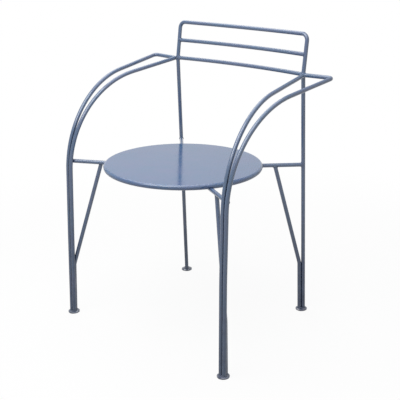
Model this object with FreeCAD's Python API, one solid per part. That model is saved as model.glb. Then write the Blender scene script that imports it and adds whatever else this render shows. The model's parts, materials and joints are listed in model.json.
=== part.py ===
import FreeCAD, Part
import math
import os

from FreeCAD import Vector

# Garden armchair welded from round steel bar, with a round pressed seat.
# Millimetres. +Z is up, the sitter faces -Y, and +X is the sitter's left.
# The origin is on the floor, below the middle of the chair's box.

# Bar stock
BAR_DIAMETER = 10.4
BAR_GAP = 0.1            # left between bars that lie side by side
COPE_SHORTFALL = 2.0     # a butted bar stops this far before the other bar's centre line

# Feet
FOOT_DIAMETER = 31.0
FOOT_EDGE = 2.5          # height of the upright edge
FOOT_CROWN = 6.0         # height of the domed top
BAR_END_HEIGHT = 1.5     # bars reach down to this height inside the dome's outline
FRONT_FEET_SPREAD = 536.8
REAR_FEET_SPREAD = 424.1
REAR_FEET_Y = 209.53
FEET_STANCE = 405.25     # from front feet to rear feet

# Seat
SEAT_DIAMETER = 404.5
SEAT_HEIGHT = 438.5      # top of the seat at its middle
SEAT_MIDDLE_Y = -23.32
SEAT_TILT = 2.0          # degrees, rear edge lower
SEAT_SHEET = 1.5
SEAT_RIM_ROLL = 6.2      # outer radius of the rim, which is rolled down and under

# Seat bars, four under the seat
SEAT_BAR_DROP = 13.3     # their centre lines, below the seat's top
FRONT_BAR_OVERRUN = 2.5  # front seat bars, outward past the middle of the leg's two bars

# Back
ELBOW_SPREAD = 422.7
ELBOW_Y = 197.38
ELBOW_HEIGHT = 652.8
ELBOW_BEND = 50.0
TOP_SPREAD = 422.7
TOP_RISE = 97.2          # top bar, above the elbows
TOP_SETBACK = 15.8       # top bar, behind the elbows
TOP_BEND = 16.0
TOP_BEND_RUN = 6.0       # straight between a top corner and the bowed stretch
TOP_BOW_TIP = 13.2       # where the bowed stretch's end tangents meet, behind the top corners
MIDDLE_BAR_RISE = 48.3   # middle bar, above the elbows
MIDDLE_BAR_BOW = 12.7
LOWER_BAR_BOW = 15.7

# Arms, which run down into the front legs
LEG_KNEE_HEIGHT = 240.0  # slight bend, below which a leg heads for the middle of its foot
LEG_KNEE_BEND = 2000.0
LEG_KNEE_INSET = 3.6     # knee, inward of the foot
LEG_KNEE_SETBACK = 8.2   # knee, behind the foot
LEG_LEAN_IN = 0.0068     # above the knee a leg leans in by this much per unit of height
LEG_LEAN_BACK = 0.0584
ARM_FRONT_HEIGHT = 614.2  # where the lines of a leg and an arm would meet
ARM_BEND = 245.5
ARM_CORNER_BEND = 9.0
EXTENSION_REACH = 86.2   # outer arm corner, outward from the elbow
EXTENSION_LEAD = 1.1     # outer arm corner, forward of the elbow
EXTENSION_RISE = 0.8     # outer arm corner, above the elbow

# Braces
FRONT_BRACE_REACH = 79.9  # along the seat bar, from the leg
REAR_BRACE_REACH = 74.1
BRACE_BEND_HEIGHT = 139.7
BRACE_BEND = 30.0
FRONT_BRACE_OUTSET = 2.0  # foot of a front brace, outward of the middle of the leg's two bars

# Values that follow from the dimensions above
BAR_PITCH = BAR_DIAMETER + BAR_GAP
SEAT_SLOPE = math.tan(math.radians(SEAT_TILT))
SIDES = {"left": 1, "right": -1}
CORNER_PASSES = 4


def unit(vector):
    """Copy of a vector with length one."""
    return Vector(vector).normalize()


def bend_reach(before, corner, after, radius):
    """Length that a bend takes up on each of the two runs that meet at a corner."""
    half = (before - corner).getAngle(after - corner) / 2
    return radius / math.tan(half)


def bent_path(points, radii):
    """Wire of straight runs through the points, joined by tangent arcs at the inner points."""
    edges = []
    start = points[0]
    for before, corner, after, radius in zip(points, points[1:], points[2:], radii):
        back = unit(before - corner)
        ahead = unit(after - corner)
        half = back.getAngle(ahead) / 2
        reach = radius / math.tan(half)
        entry = corner + back * reach
        middle = corner + unit(back + ahead) * (radius / math.sin(half) - radius)
        leave = corner + ahead * reach
        edges.append(Part.LineSegment(start, entry).toShape())
        edges.append(Part.Arc(entry, middle, leave).toShape())
        start = leave
    edges.append(Part.LineSegment(start, points[-1]).toShape())
    return Part.Wire(edges)


def round_bar(path):
    """Solid round bar along a wire."""
    first = path.Edges[0]
    start = first.valueAt(first.FirstParameter)
    heading = first.tangentAt(first.FirstParameter)
    section = Part.Wire(Part.makeCircle(BAR_DIAMETER / 2, start, heading))
    return path.makePipeShell([section], True, False)


def straight_bar(start, end):
    """Solid round bar between two points."""
    return Part.makeCylinder(BAR_DIAMETER / 2, start.distanceToPoint(end), start, end - start)


def coped(piece, *neighbours):
    """The piece, cut to the shape of the neighbours that it is welded to."""
    for neighbour in neighbours:
        piece = piece.cut(neighbour)
    return max(piece.Solids, key=lambda solid: solid.Volume)


def seat_bar_height(y):
    """Height of the seat bars' centre lines, which lie parallel to the seat."""
    drop = SEAT_BAR_DROP / math.cos(math.radians(SEAT_TILT))
    return SEAT_HEIGHT - drop - SEAT_SLOPE * (y - SEAT_MIDDLE_Y)


def where_seat_bars_meet(low, high):
    """Point at the seat bars' level on the line through two points of a leg."""
    rise = high - low
    below = seat_bar_height(low.y) - low.z
    return low + rise * (below / (rise.z + SEAT_SLOPE * rise.y))


# Places of the feet and of the bars that stand on them

def front_foot_place(side):
    return Vector(side * FRONT_FEET_SPREAD / 2, REAR_FEET_Y - FEET_STANCE, 0)


def rear_foot_place(side):
    return Vector(side * REAR_FEET_SPREAD / 2, REAR_FEET_Y, 0)


def behind_pair(outset):
    """How far behind two touching bars a third one lies, by its offset from their middle."""
    return math.sqrt(BAR_PITCH ** 2 - (BAR_PITCH / 2 - outset) ** 2)


def front_leg_base(side):
    """Floor point between a front leg's two bars, which share the middle of the foot with the brace."""
    return front_foot_place(side) - Vector(0, behind_pair(0) / 3, 0)


def front_knee_place(side):
    return front_foot_place(side) + Vector(-side * LEG_KNEE_INSET, LEG_KNEE_SETBACK, LEG_KNEE_HEIGHT)


def front_leg_place(side, height):
    """Point midway between a front leg's two bars."""
    knee = front_knee_place(side)
    if height < LEG_KNEE_HEIGHT:
        base = front_leg_base(side)
        return base + (knee - base) * (height / LEG_KNEE_HEIGHT)
    lean = Vector(-side * LEG_LEAN_IN, LEG_LEAN_BACK, 1)
    return knee + lean * (height - LEG_KNEE_HEIGHT)


def behind_front_leg(side, height, outset=0.0):
    """Point behind a front leg, where a third bar touches its bars."""
    return front_leg_place(side, height) + Vector(side * outset, behind_pair(outset), 0)


def towards_hub(place):
    """Level direction from a place to the hub of the seat bars."""
    return unit(Vector(-place.x, SEAT_MIDDLE_Y - place.y, 0))


def rear_leg_foot(side):
    """Floor point on a rear leg's centre line, behind the middle of its foot."""
    foot = rear_foot_place(side)
    return foot - towards_hub(foot) * (BAR_PITCH / 2)


def elbow_place(side):
    return Vector(side * ELBOW_SPREAD / 2, ELBOW_Y, ELBOW_HEIGHT)


def top_corner_place(side):
    return Vector(side * TOP_SPREAD / 2, ELBOW_Y + TOP_SETBACK, ELBOW_HEIGHT + TOP_RISE)


def hub_place():
    return Vector(0, SEAT_MIDDLE_Y, seat_bar_height(SEAT_MIDDLE_Y))


def rear_leg_place(side, height):
    """Point on the straight stretch of a rear leg, below the elbow."""
    foot = rear_leg_foot(side)
    return foot + (elbow_place(side) - foot) * (height / ELBOW_HEIGHT)


# Pieces

def foot_disc(place):
    """Domed disc that a group of bars stands on."""
    radius = FOOT_DIAMETER / 2
    crown = FOOT_CROWN - FOOT_EDGE
    dome_radius = (radius ** 2 + crown ** 2) / (2 * crown)
    dome_middle = Vector(0, 0, FOOT_CROWN - dome_radius)
    body = Part.makeCylinder(radius, FOOT_CROWN)
    dome = Part.makeSphere(dome_radius, dome_middle)
    foot = body.common(dome).Solids[0]
    foot.translate(place)
    return foot


def seat_pan():
    """Flat round sheet with its rim rolled down and under."""
    radius = SEAT_DIAMETER / 2
    roll = SEAT_RIM_ROLL
    inner_roll = roll - SEAT_SHEET
    roll_middle = Vector(radius - roll, 0, -roll)
    outward = Vector(1, 0, 0)
    up = Vector(0, 0, 1)
    middle = Vector()
    under_middle = Vector(0, 0, -SEAT_SHEET)
    outer_start, outer_end = roll_middle + up * roll, roll_middle - up * roll
    inner_start, inner_end = roll_middle - up * inner_roll, roll_middle + up * inner_roll
    profile = Part.Wire([
        Part.LineSegment(middle, outer_start).toShape(),
        Part.Arc(outer_start, roll_middle + outward * roll, outer_end).toShape(),
        Part.LineSegment(outer_end, inner_start).toShape(),
        Part.Arc(inner_start, roll_middle + outward * inner_roll, inner_end).toShape(),
        Part.LineSegment(inner_end, under_middle).toShape(),
        Part.LineSegment(under_middle, middle).toShape(),
    ])
    pan = Part.Face(profile).revolve(middle, up, 360)
    pan.rotate(middle, outward, -SEAT_TILT)
    pan.translate(Vector(0, SEAT_MIDDLE_Y, SEAT_HEIGHT))
    return pan


def back_frame():
    """Rear legs, back posts and top bar, bent from one bar."""
    left, right = (
        [rear_leg_place(side, BAR_END_HEIGHT), elbow_place(side), top_corner_place(side)]
        for side in SIDES.values()
    )
    bow_tip = (left[2] + right[2]) / 2 + Vector(0, TOP_BOW_TIP, 0)
    corner_reach = bend_reach(left[1], left[2], bow_tip, TOP_BEND)
    bow_reach = bow_tip.distanceToPoint(left[2]) - corner_reach - TOP_BEND_RUN
    bow_half_angle = (left[2] - bow_tip).getAngle(right[2] - bow_tip) / 2
    bow_radius = bow_reach * math.tan(bow_half_angle)
    points = left + [bow_tip] + right[::-1]
    radii = [ELBOW_BEND, TOP_BEND, bow_radius, TOP_BEND, ELBOW_BEND]
    return round_bar(bent_path(points, radii))


def back_bar(left_end, bow):
    """Bar between the back posts, bowed to the rear."""
    left_end = left_end - Vector(COPE_SHORTFALL, 0, 0)
    right_end = Vector(-left_end.x, left_end.y, left_end.z)
    middle = Vector(0, left_end.y + bow, left_end.z)
    return round_bar(Part.Wire(Part.Arc(left_end, middle, right_end).toShape()))


def post_place(rise):
    """Point on the left back post, by its height above the elbow."""
    elbow = elbow_place(SIDES["left"])
    top = top_corner_place(SIDES["left"])
    return elbow + (top - elbow) * (rise / TOP_RISE)


def arm_loop(side):
    """One bent bar: up the front leg, along the arm, round by the post and back down beside itself."""
    elbow = elbow_place(side)
    outward = Vector(side * BAR_PITCH / 2, 0, 0)
    leg = [front_leg_place(side, height) for height in (BAR_END_HEIGHT, LEG_KNEE_HEIGHT, ARM_FRONT_HEIGHT)]
    inner_leg = [place - outward for place in leg]
    outer_leg = [place + outward for place in leg]
    outer_corner = elbow + Vector(side * EXTENSION_REACH, -EXTENSION_LEAD, EXTENSION_RISE)
    # The bend at the post just clears the post, on its front outer side.
    # Its two runs turn a little as the corner moves, so the place is settled in a few passes.
    inner_corner = elbow
    for _ in range(CORNER_PASSES):
        arm_run = unit(inner_leg[-1] - inner_corner)
        extension_run = unit(outer_corner - inner_corner)
        half = arm_run.getAngle(extension_run) / 2
        bend_depth = ARM_CORNER_BEND / math.sin(half) - ARM_CORNER_BEND
        inner_corner = elbow + unit(arm_run + extension_run) * (BAR_PITCH - bend_depth)
    points = inner_leg + [inner_corner, outer_corner] + outer_leg[::-1]
    radii = [LEG_KNEE_BEND, ARM_BEND, ARM_CORNER_BEND, ARM_CORNER_BEND, ARM_BEND, LEG_KNEE_BEND]
    return round_bar(bent_path(points, radii))


def seat_bar(side, outer_end, overrun):
    """Bar under the seat, mitred against the other three at the hub, that runs out past its leg."""
    hub = hub_place()
    run = unit(outer_end - hub)
    bar = straight_bar(hub - run * BAR_DIAMETER, outer_end + run * overrun)
    reach = 2 * hub.distanceToPoint(outer_end)
    corner = Vector(0 if side > 0 else -reach, hub.y if run.y > 0 else hub.y - reach, 0)
    quarter = Part.makeBox(reach, reach, 2 * SEAT_HEIGHT, corner)
    return bar.common(quarter).Solids[0]


def brace(foot, bend, top):
    """Bar from a foot up beside its leg, then slanting to the seat bar."""
    end = top - unit(top - bend) * COPE_SHORTFALL
    return round_bar(bent_path([foot, bend, end], [BRACE_BEND]))


def front_brace(side, seat_bar_end):
    """Brace behind a front leg, welded to the rear flank of the seat bar."""
    along = unit(hub_place() - seat_bar_end)
    flank = unit(Vector(along.y, -along.x, 0)) * (side * BAR_DIAMETER / 2)
    top = seat_bar_end + along * FRONT_BRACE_REACH + flank
    foot = behind_front_leg(side, BAR_END_HEIGHT, FRONT_BRACE_OUTSET)
    return brace(foot, behind_front_leg(side, BRACE_BEND_HEIGHT), top)


def rear_brace(side, seat_bar_end):
    """Brace in front of a rear leg, welded below the seat bar."""
    inward = towards_hub(rear_foot_place(side)) * BAR_PITCH
    foot = rear_leg_place(side, BAR_END_HEIGHT) + inward
    bend = rear_leg_place(side, BRACE_BEND_HEIGHT) + inward
    top = seat_bar_end + unit(hub_place() - seat_bar_end) * REAR_BRACE_REACH
    return brace(foot, bend, top)


def chair():
    """All pieces by name, each shaped to what it is welded to."""
    pieces = {}
    seat_bars = []
    feet = {}
    for name, side in SIDES.items():
        feet[name] = (foot_disc(front_foot_place(side)), foot_disc(rear_foot_place(side)))
        pieces["front_foot_" + name], pieces["rear_foot_" + name] = feet[name]

    rear_feet = [pair[1] for pair in feet.values()]
    frame = coped(back_frame(), *rear_feet)
    pieces["back_frame"] = frame
    pieces["middle_back_bar"] = coped(back_bar(post_place(MIDDLE_BAR_RISE), MIDDLE_BAR_BOW), frame)
    pieces["lower_back_bar"] = coped(back_bar(post_place(0), LOWER_BAR_BOW), frame)

    for name, side in SIDES.items():
        front_foot, rear_foot = feet[name]
        arm = coped(arm_loop(side), front_foot)
        behind_leg = [behind_front_leg(side, height) for height in (LEG_KNEE_HEIGHT, SEAT_HEIGHT)]
        front_end = where_seat_bars_meet(*behind_leg)
        rear_end = where_seat_bars_meet(rear_leg_foot(side), elbow_place(side))
        front_bar = coped(seat_bar(side, front_end, FRONT_BAR_OVERRUN), arm)
        rear_bar = coped(seat_bar(side, rear_end, -COPE_SHORTFALL), frame)
        seat_bars += [front_bar, rear_bar]
        pieces["arm_" + name] = arm
        pieces["front_seat_bar_" + name] = front_bar
        pieces["rear_seat_bar_" + name] = rear_bar
        pieces["front_brace_" + name] = coped(front_brace(side, front_end), front_bar, front_foot)
        pieces["rear_brace_" + name] = coped(rear_brace(side, rear_end), rear_bar, rear_foot)
    pieces["seat_pan"] = coped(seat_pan(), *seat_bars)
    return pieces


os.makedirs("parts", exist_ok=True)
for piece_name, shape in chair().items():
    shape.exportStep("parts/" + piece_name + ".step")
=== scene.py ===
"""Garden armchair: lacquer, weld beads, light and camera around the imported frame."""
import json
import math

import bmesh
import bpy
from mathutils import Matrix, Vector
from mathutils.bvhtree import BVHTree


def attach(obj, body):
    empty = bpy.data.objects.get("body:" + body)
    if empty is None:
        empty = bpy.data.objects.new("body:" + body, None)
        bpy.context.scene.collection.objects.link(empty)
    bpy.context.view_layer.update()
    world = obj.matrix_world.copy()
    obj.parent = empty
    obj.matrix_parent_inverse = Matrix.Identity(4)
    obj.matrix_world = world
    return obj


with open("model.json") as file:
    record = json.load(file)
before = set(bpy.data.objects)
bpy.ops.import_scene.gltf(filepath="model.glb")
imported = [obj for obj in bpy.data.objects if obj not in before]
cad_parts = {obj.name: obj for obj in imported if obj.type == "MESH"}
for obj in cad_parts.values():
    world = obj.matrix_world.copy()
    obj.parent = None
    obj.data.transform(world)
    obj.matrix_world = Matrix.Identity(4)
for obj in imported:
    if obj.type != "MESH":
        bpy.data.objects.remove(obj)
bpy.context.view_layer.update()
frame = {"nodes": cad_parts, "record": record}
NODES = frame["nodes"]
SLOTS = {part["node"]: part["material_slot"] for part in frame["record"]["subparts"]}
UP = Vector((0, 0, 1))
WHITE = (1, 1, 1, 1)

# Camera in metres and radians, its sensor in millimetres, solved from the photograph
IMAGE_PIXELS = 400
SENSOR_WIDTH = 36.0
CAMERA_PLACE = Vector((1.3798, -1.5202, 1.0629))
CAMERA_YAW = -0.72468
CAMERA_PITCH = -0.34279
CAMERA_ROLL = -0.02238
FOCAL_PIXELS = 835.87

# Lacquer: linear colours, of which two drift into each other on each piece, and gloss
SHEET_BLUE = (0.051, 0.122, 0.258, 1)
SHEET_VIOLET = (0.068, 0.119, 0.261, 1)
BAR_BLUE = (0.059, 0.121, 0.232, 1)
BAR_VIOLET = (0.074, 0.118, 0.234, 1)
FOOT_BLUE = (0.125, 0.161, 0.238, 1)
FOOT_VIOLET = (0.146, 0.161, 0.238, 1)
SHEET_IOR = 1.7
BAR_IOR = 1.8
SMOOTHEST = 0.1
ROUGHEST = 0.16

# Noise behind the lacquer: scales per metre, layers of finer detail, and the range that counts
DRIFT_SCALE = 16.0
DRIFT_DETAIL = 2
DRIFT_RANGE = (0.35, 0.65)
GLOSS_SCALE = 45.0
GLOSS_DETAIL = 4
DIRT_SCALE = 60.0
DIRT_DETAIL = 3
PATCH_RANGE = (0.3, 0.7)

# Orange peel of the sprayed lacquer, and slow waves in the metal below it, heights in metres
PEEL_SCALE = 420.0
PEEL_DETAIL = 1
PEEL_HEIGHT = 0.000003
WAVE_SCALE = 11.0
WAVE_DETAIL = 0
SHEET_WAVE_HEIGHT = 0.0003
BAR_WAVE_HEIGHT = 0.0001

# Painted shade on the lacquer, which also dulls it: patches that thin out from the floor up to the
# shade's top
PAINTED_SHADE_COLOUR = (0.028, 0.029, 0.044, 1)
PAINTED_SHADE_TOP = 0.36
LEG_FLOOR_SHADE = 0.55
FOOT_FLOOR_SHADE = 0.2
THINNEST_PATCH = 0.5
UNSHADED_SPECULAR = 0.5
SHADED_SPECULAR = 0.1
SHADED_ROUGHNESS = 0.16

# Painted shade in crevices: by how open a place is within reach, fading out between two heights
CREVICE_SHADE = 0.75
CREVICE_REACH = 0.012
CREVICE_DEEP = 0.3
CREVICE_OPEN = 0.85
CREVICE_SHADE_FULL_HEIGHT = 0.52
CREVICE_SHADE_END_HEIGHT = 0.64

# Look of each material slot: two shades, IOR, height of the waves, painted shade at the floor
BAR_SLOT = "bar_lacquer"
LOOKS = {
    "seat_lacquer": (SHEET_BLUE, SHEET_VIOLET, SHEET_IOR, SHEET_WAVE_HEIGHT, LEG_FLOOR_SHADE),
    BAR_SLOT: (BAR_BLUE, BAR_VIOLET, BAR_IOR, BAR_WAVE_HEIGHT, LEG_FLOOR_SHADE),
    "foot_lacquer": (FOOT_BLUE, FOOT_VIOLET, BAR_IOR, BAR_WAVE_HEIGHT, FOOT_FLOOR_SHADE),
}

# Weld beads, in metres
BAR_RADIUS = 0.0052
BEAD_RADIUS = 0.0014
BEAD_SIDES = 8
BEAD_STEP = 0.0005
FEWEST_STEPS = 2
RIPPLE_PITCH = 0.0022
RIPPLE_DEPTH = 0.16
TAPER = 0.002
SHORTEST_BEAD = 0.004
LONGEST_SEAM = 0.2
SEAM_ANGLE = math.radians(35)
SEAM_REACH = 0.0009
MERGE_DISTANCE = 0.00001
ARM_BEAD_LIFT = 0.0042
ARM_BEAD_TURN = math.radians(55)
ARM_BEAD_POINTS = 25

# Floor in metres: its shadow fades out between two distances from the chair's middle
FLOOR_HALF_SIZE = 12.0
FLOOR_WHITE = 0.97
FLOOR_BOUNCE = 0.55
FLOOR_SHADOW = 0.08
FADE_START = 0.6
FADE_END = 1.5

# Light: strength of the surroundings, and softboxes in metres and watts
AMBIENT = 0.2
SOFTBOX_AIM = Vector((0, 0, 0.4))
TOP_PLACE = Vector((0.1, -0.35, 1.7))
TOP_SIZE = 2.2
TOP_POWER = 17.0
BACK_PLACE = Vector((-1.05, 0.75, 2.0))
BACK_SIZE = 1.2
BACK_POWER = 10.0
KEY_PLACE = Vector((0.0, -0.72, 1.78))
KEY_SIZE = 1.1
KEY_POWER = 12.0


def add_camera():
    """Camera at the photograph's place, angle and focal length."""
    forward = Vector((
        math.sin(CAMERA_YAW) * math.cos(CAMERA_PITCH),
        math.cos(CAMERA_YAW) * math.cos(CAMERA_PITCH),
        math.sin(CAMERA_PITCH),
    ))
    level_right = Vector((math.cos(CAMERA_YAW), -math.sin(CAMERA_YAW), 0))
    level_up = level_right.cross(forward)
    right = level_right * math.cos(CAMERA_ROLL) + level_up * math.sin(CAMERA_ROLL)
    up = level_up * math.cos(CAMERA_ROLL) - level_right * math.sin(CAMERA_ROLL)
    data = bpy.data.cameras.new("camera")
    data.sensor_width = SENSOR_WIDTH
    data.lens = FOCAL_PIXELS * SENSOR_WIDTH / IMAGE_PIXELS
    camera = bpy.data.objects.new("camera", data)
    turn = Matrix((right, up, -forward)).transposed()
    camera.matrix_world = Matrix.Translation(CAMERA_PLACE) @ turn.to_4x4()
    bpy.context.scene.collection.objects.link(camera)
    bpy.context.scene.camera = camera


def noise(tree, place, scale, detail):
    """Socket with smooth noise, from 0 to 1, at a scale per metre."""
    node = tree.nodes.new("ShaderNodeTexNoise")
    node.inputs["Scale"].default_value = scale
    node.inputs["Detail"].default_value = detail
    tree.links.new(place, node.inputs["Vector"])
    return node.outputs["Fac"]


def spread(tree, value, start, end, low, high):
    """Socket that runs from low to high while value runs from start to end."""
    node = tree.nodes.new("ShaderNodeMapRange")
    for name, number in (("From Min", start), ("From Max", end), ("To Min", low), ("To Max", high)):
        node.inputs[name].default_value = number
    tree.links.new(value, node.inputs["Value"])
    return node.outputs["Result"]


def combine(tree, operation, first, second):
    """Socket with the sum, product or larger one of two sockets, as the operation says."""
    node = tree.nodes.new("ShaderNodeMath")
    node.operation = operation
    tree.links.new(first, node.inputs[0])
    tree.links.new(second, node.inputs[1])
    return node.outputs["Value"]


def blend_colours(tree, share, first, second):
    """Socket with a mix of two colours, each a socket or a fixed colour."""
    node = tree.nodes.new("ShaderNodeMix")
    node.data_type = "RGBA"
    tree.links.new(share, node.inputs["Factor"])
    for name, colour in (("A", first), ("B", second)):
        socket = next(entry for entry in node.inputs if entry.name == name and entry.type == "RGBA")
        if isinstance(colour, tuple):
            socket.default_value = colour
        else:
            tree.links.new(colour, socket)
    return next(entry for entry in node.outputs if entry.type == "RGBA")


def raised(tree, height, distance, below):
    """Socket with a surface that a height socket raises by up to a distance, on the surface below."""
    node = tree.nodes.new("ShaderNodeBump")
    node.inputs["Distance"].default_value = distance
    tree.links.new(height, node.inputs["Height"])
    if below:
        tree.links.new(below, node.inputs["Normal"])
    return node.outputs["Normal"]


def painted_shade_amount(tree, place, floor_shade):
    """Socket with the share of painted shade, in patches near the floor and in the crevices below the
    arms.
    """
    parts = tree.nodes.new("ShaderNodeSeparateXYZ")
    tree.links.new(place, parts.inputs["Vector"])
    height = parts.outputs["Z"]
    # Painted shade: the lacquer darkens in patches from the floor up to the shade's top
    near_floor = spread(tree, height, 0.0, PAINTED_SHADE_TOP, floor_shade, 0.0)
    patches = noise(tree, place, DIRT_SCALE, DIRT_DETAIL)
    patchy = spread(tree, patches, *PATCH_RANGE, THINNEST_PATCH, 1.0)
    # Painted shade: darker where the surface is closed in within reach, in the crevices below the arms
    openness = tree.nodes.new("ShaderNodeAmbientOcclusion")
    openness.inputs["Distance"].default_value = CREVICE_REACH
    in_crevice = spread(tree, openness.outputs["AO"], CREVICE_DEEP, CREVICE_OPEN, CREVICE_SHADE, 0.0)
    below_arms = spread(tree, height, CREVICE_SHADE_FULL_HEIGHT, CREVICE_SHADE_END_HEIGHT, 1.0, 0.0)
    low_shade = combine(tree, "MULTIPLY", near_floor, patchy)
    shade_in_crevices = combine(tree, "MULTIPLY", below_arms, in_crevice)
    return combine(tree, "MAXIMUM", low_shade, shade_in_crevices)


def lacquer(name, blue, violet, ior, wave_height, floor_shade):
    """Sprayed semi-gloss lacquer: drifting shade, uneven gloss, orange peel, and painted shade with
    duller gloss on it.
    """
    material = bpy.data.materials.new(name)
    material.use_nodes = True
    tree = material.node_tree
    shader = tree.nodes["Principled BSDF"]
    shader.inputs["IOR"].default_value = ior
    place = tree.nodes.new("ShaderNodeTexCoord").outputs["Object"]
    painted_shade = painted_shade_amount(tree, place, floor_shade)

    drift = spread(tree, noise(tree, place, DRIFT_SCALE, DRIFT_DETAIL), *DRIFT_RANGE, 0.0, 1.0)
    shade = blend_colours(tree, drift, blue, violet)
    # Painted shade: the base colour darkens towards a dark blue-grey by the share of painted shade
    tree.links.new(blend_colours(tree, painted_shade, shade, PAINTED_SHADE_COLOUR), shader.inputs["Base Color"])
    shine = spread(tree, painted_shade, 0.0, 1.0, UNSHADED_SPECULAR, SHADED_SPECULAR)
    tree.links.new(shine, shader.inputs["Specular IOR Level"])

    blotches = noise(tree, place, GLOSS_SCALE, GLOSS_DETAIL)
    gloss = spread(tree, blotches, *PATCH_RANGE, SMOOTHEST, ROUGHEST)
    dull = spread(tree, painted_shade, 0.0, 1.0, 0.0, SHADED_ROUGHNESS)
    tree.links.new(combine(tree, "ADD", gloss, dull), shader.inputs["Roughness"])

    waves = raised(tree, noise(tree, place, WAVE_SCALE, WAVE_DETAIL), wave_height, None)
    peel = raised(tree, noise(tree, place, PEEL_SCALE, PEEL_DETAIL), PEEL_HEIGHT, waves)
    tree.links.new(peel, shader.inputs["Normal"])
    return material


def merged(node):
    """Copy of a node's mesh in which faces that meet share their points."""
    mesh = bmesh.new()
    mesh.from_mesh(NODES[node].data)
    bmesh.ops.remove_doubles(mesh, verts=mesh.verts, dist=MERGE_DISTANCE)
    return mesh


def seams(mesh):
    """Runs of places along the sharp edges of a mesh, each with whether it closes on itself."""
    ways = {}
    for edge in mesh.edges:
        if len(edge.link_faces) == 2 and edge.calc_face_angle() > SEAM_ANGLE:
            for vertex in edge.verts:
                ways.setdefault(vertex, set()).add(edge)
    used = set()
    runs = []
    ends_first = sorted(ways, key=lambda vertex: (len(ways[vertex]) == 2, vertex.index))
    for start in ends_first:
        for edge in sorted(ways[start], key=lambda edge: edge.index):
            if edge in used:
                continue
            run = [start]
            while edge:
                used.add(edge)
                run.append(edge.other_vert(run[-1]))
                onward = ways[run[-1]] - used
                edge = onward.pop() if len(ways[run[-1]]) == 2 and onward else None
            runs.append(([vertex.co.copy() for vertex in run], run[0] == run[-1]))
    return runs


def evenly(points, step):
    """Places about a step apart along a line through points, and the line's length."""
    lengths = [0.0]
    for before, after in zip(points, points[1:]):
        lengths.append(lengths[-1] + (after - before).length)
    count = max(FEWEST_STEPS, round(lengths[-1] / step))
    places = []
    piece = 0
    for index in range(count + 1):
        along = lengths[-1] * index / count
        while piece < len(points) - 2 and lengths[piece + 1] < along:
            piece += 1
        share = (along - lengths[piece]) / max(lengths[piece + 1] - lengths[piece], MERGE_DISTANCE)
        places.append(points[piece].lerp(points[piece + 1], min(share, 1.0)))
    return places, lengths[-1]


def welded_parts(places, closed, neighbours):
    """Parts of a seam that lie on a neighbour's surface, each with whether it closes on itself."""
    touching = [any(tree.find_nearest(place, SEAM_REACH)[0] for tree in neighbours) for place in places]
    if all(touching):
        return [(places, closed)]
    if closed:
        gap = touching.index(False)
        places = places[gap:-1] + places[:gap + 1]
        touching = touching[gap:-1] + touching[:gap + 1]
    parts = [[]]
    for place, on in zip(places, touching):
        if on:
            parts[-1].append(place)
        elif parts[-1]:
            parts.append([])
    return [(part, False) for part in parts if len(part) * BEAD_STEP > SHORTEST_BEAD]


def bead_radius(index, count, closed):
    """Radius at one of a bead's places: rippled, and tapered towards the ends of an open bead."""
    ripples = max(1, round(count * BEAD_STEP / RIPPLE_PITCH))
    radius = BEAD_RADIUS * (1 + RIPPLE_DEPTH * math.sin(math.tau * ripples * index / count))
    if not closed:
        to_end = min(index + 1, count - index) * BEAD_STEP
        radius *= math.sin(min(1.0, to_end / TAPER) * math.pi / 2)
    return radius


def bead_ring(mesh, place, along, outward, radius):
    """Ring of points round a place, square to the bead's direction there."""
    outward = (outward - along * outward.dot(along)).normalized()
    across = along.cross(outward)
    ring = []
    for side in range(BEAD_SIDES):
        turn = math.tau * side / BEAD_SIDES
        away = outward * math.cos(turn) + across * math.sin(turn)
        ring.append(mesh.verts.new(place + away * radius))
    return ring


def sweep_bead(mesh, places, closed):
    """Rippled bead along places, joined end to end or tapered at both ends."""
    if closed:
        places = places[:-1]
    count = len(places)
    middle = sum(places, Vector()) / count
    rings = []
    for index, place in enumerate(places):
        before = places[index - 1] if closed or index else place
        after = places[(index + 1) % count] if closed or index < count - 1 else place
        along = (after - before).normalized()
        radius = bead_radius(index, count, closed)
        rings.append(bead_ring(mesh, place, along, place - middle, radius))
    followers = rings[1:] + rings[:1] if closed else rings[1:]
    for ring, follower in zip(rings, followers):
        for side in range(BEAD_SIDES):
            beside = (side + 1) % BEAD_SIDES
            mesh.faces.new((ring[side], ring[beside], follower[beside], follower[side]))
    if not closed:
        mesh.faces.new(rings[0][::-1])
        mesh.faces.new(rings[-1])


def seam_beads(node, mesh, trees):
    """Beads along the seams where a node's coped ends lie on its neighbours."""
    source = merged(node)
    neighbours = [tree for name, tree in trees.items() if name != node]
    for points, closed in seams(source):
        places, length = evenly(points, BEAD_STEP)
        if SHORTEST_BEAD < length < LONGEST_SEAM:
            for part, whole in welded_parts(places, closed, neighbours):
                sweep_bead(mesh, part, whole)
    source.free()


def arm_corner_beads(node, mesh, trees):
    """Short beads above and below the place where an arm's corner touches the back's post."""
    post = trees["back_frame"]
    touches = [post.find_nearest(vertex.co) for vertex in NODES[node].data.vertices]
    # Each touch is a place on the post, the normal there, a face's index and the distance
    place, outward, _, _ = min(touches, key=lambda touch: touch[-1])
    beside = UP.cross(outward).normalized()
    axis = place - outward * BAR_RADIUS
    for lift in (-ARM_BEAD_LIFT, ARM_BEAD_LIFT):
        arc = []
        for index in range(ARM_BEAD_POINTS):
            turn = ARM_BEAD_TURN * (2 * index / (ARM_BEAD_POINTS - 1) - 1)
            away = outward * math.cos(turn) + beside * math.sin(turn)
            arc.append(axis + away * (BAR_RADIUS + BEAD_RADIUS / 2) + UP * lift)
        sweep_bead(mesh, evenly(arc, BEAD_STEP)[0], False)


def search_trees():
    """For each node, a tree that finds the nearest place on its surface."""
    trees = {}
    for node, body in NODES.items():
        corners = [vertex.co for vertex in body.data.vertices]
        faces = [list(face.vertices) for face in body.data.polygons]
        trees[node] = BVHTree.FromPolygons(corners, faces)
    return trees


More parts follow.
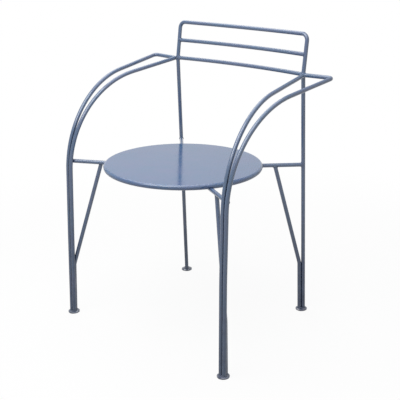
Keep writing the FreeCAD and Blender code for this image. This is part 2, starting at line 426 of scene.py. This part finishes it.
def add_beads(finishes):
    """Weld beads of each bar, as one piece in the bar's own finish."""
    trees = search_trees()
    for node, slot in SLOTS.items():
        if slot != BAR_SLOT:
            continue
        mesh = bmesh.new()
        seam_beads(node, mesh, trees)
        if node.startswith("arm"):
            arm_corner_beads(node, mesh, trees)
        bmesh.ops.recalc_face_normals(mesh, faces=mesh.faces)
        for face in mesh.faces:
            face.smooth = True
        data = bpy.data.meshes.new("welds_" + node)
        mesh.to_mesh(data)
        mesh.free()
        data.materials.append(finishes[slot])
        welds = bpy.data.objects.new("welds_" + node, data)
        bpy.context.scene.collection.objects.link(welds)
        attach(welds, "root")


def seen_directly(tree):
    """Socket that is one for rays that see the studio itself, and zero for the light that it sheds."""
    path = tree.nodes.new("ShaderNodeLightPath")
    total = path.outputs["Is Camera Ray"]
    for ray in ("Is Glossy Ray", "Is Transmission Ray"):
        total = combine(tree, "MAXIMUM", total, path.outputs[ray])
    return total


def matt(tree, brightness):
    """Socket with a matt grey surface."""
    node = tree.nodes.new("ShaderNodeBsdfDiffuse")
    node.inputs["Color"].default_value = (brightness, brightness, brightness, 1)
    return node.outputs["BSDF"]


def blend_shaders(tree, share, first, second):
    """Socket with a mix of two surfaces."""
    node = tree.nodes.new("ShaderNodeMixShader")
    tree.links.new(share, node.inputs["Fac"])
    tree.links.new(first, node.inputs[1])
    tree.links.new(second, node.inputs[2])
    return node.outputs["Shader"]


def floor_finish():
    """Finish that looks white, keeps a soft shadow round the chair and sheds little light upward."""
    material = bpy.data.materials.new("floor")
    material.use_nodes = True
    tree = material.node_tree
    tree.nodes.clear()
    place = tree.nodes.new("ShaderNodeTexCoord").outputs["Object"]
    distance = tree.nodes.new("ShaderNodeVectorMath")
    distance.operation = "LENGTH"
    tree.links.new(place, distance.inputs[0])
    shadow = spread(tree, distance.outputs["Value"], FADE_START, FADE_END, FLOOR_SHADOW, 0.0)
    shadow.node.interpolation_type = "SMOOTHSTEP"
    glow = tree.nodes.new("ShaderNodeEmission").outputs["Emission"]
    white = blend_shaders(tree, shadow, glow, matt(tree, FLOOR_WHITE))
    surface = blend_shaders(tree, seen_directly(tree), matt(tree, FLOOR_BOUNCE), white)
    output = tree.nodes.new("ShaderNodeOutputMaterial")
    tree.links.new(surface, output.inputs["Surface"])
    return material


def add_floor():
    """Large level floor under the chair."""
    size = FLOOR_HALF_SIZE
    corners = [(-size, -size, 0), (size, -size, 0), (size, size, 0), (-size, size, 0)]
    mesh = bpy.data.meshes.new("floor")
    mesh.from_pydata(corners, [], [range(len(corners))])
    mesh.materials.append(floor_finish())
    floor = bpy.data.objects.new("floor", mesh)
    bpy.context.scene.collection.objects.link(floor)


def add_softbox(name, place, size, power):
    """Square softbox that faces the chair and stays out of the picture."""
    data = bpy.data.lights.new(name, "AREA")
    data.shape = "SQUARE"
    data.size = size
    data.energy = power
    lamp = bpy.data.objects.new(name, data)
    lamp.location = place
    lamp.rotation_euler = (SOFTBOX_AIM - place).to_track_quat("-Z", "Y").to_euler()
    lamp.visible_camera = False
    bpy.context.scene.collection.objects.link(lamp)


def add_light():
    """White surroundings with a soft even light, and softboxes above, behind and in front."""
    world = bpy.data.worlds.new("studio")
    bpy.context.scene.world = world
    world.use_nodes = True
    tree = world.node_tree
    background = tree.nodes["Background"]
    background.inputs["Color"].default_value = WHITE
    strength = spread(tree, seen_directly(tree), 0.0, 1.0, AMBIENT, 1.0)
    tree.links.new(strength, background.inputs["Strength"])
    add_softbox("top_softbox", TOP_PLACE, TOP_SIZE, TOP_POWER)
    add_softbox("back_softbox", BACK_PLACE, BACK_SIZE, BACK_POWER)
    add_softbox("key_softbox", KEY_PLACE, KEY_SIZE, KEY_POWER)


finishes = {slot: lacquer(slot, *look) for slot, look in LOOKS.items()}
for node, body in NODES.items():
    body.data.materials.clear()
    body.data.materials.append(finishes[SLOTS[node]])
add_beads(finishes)
add_camera()
add_floor()
add_light()
bpy.context.scene.view_settings.view_transform = "Standard"
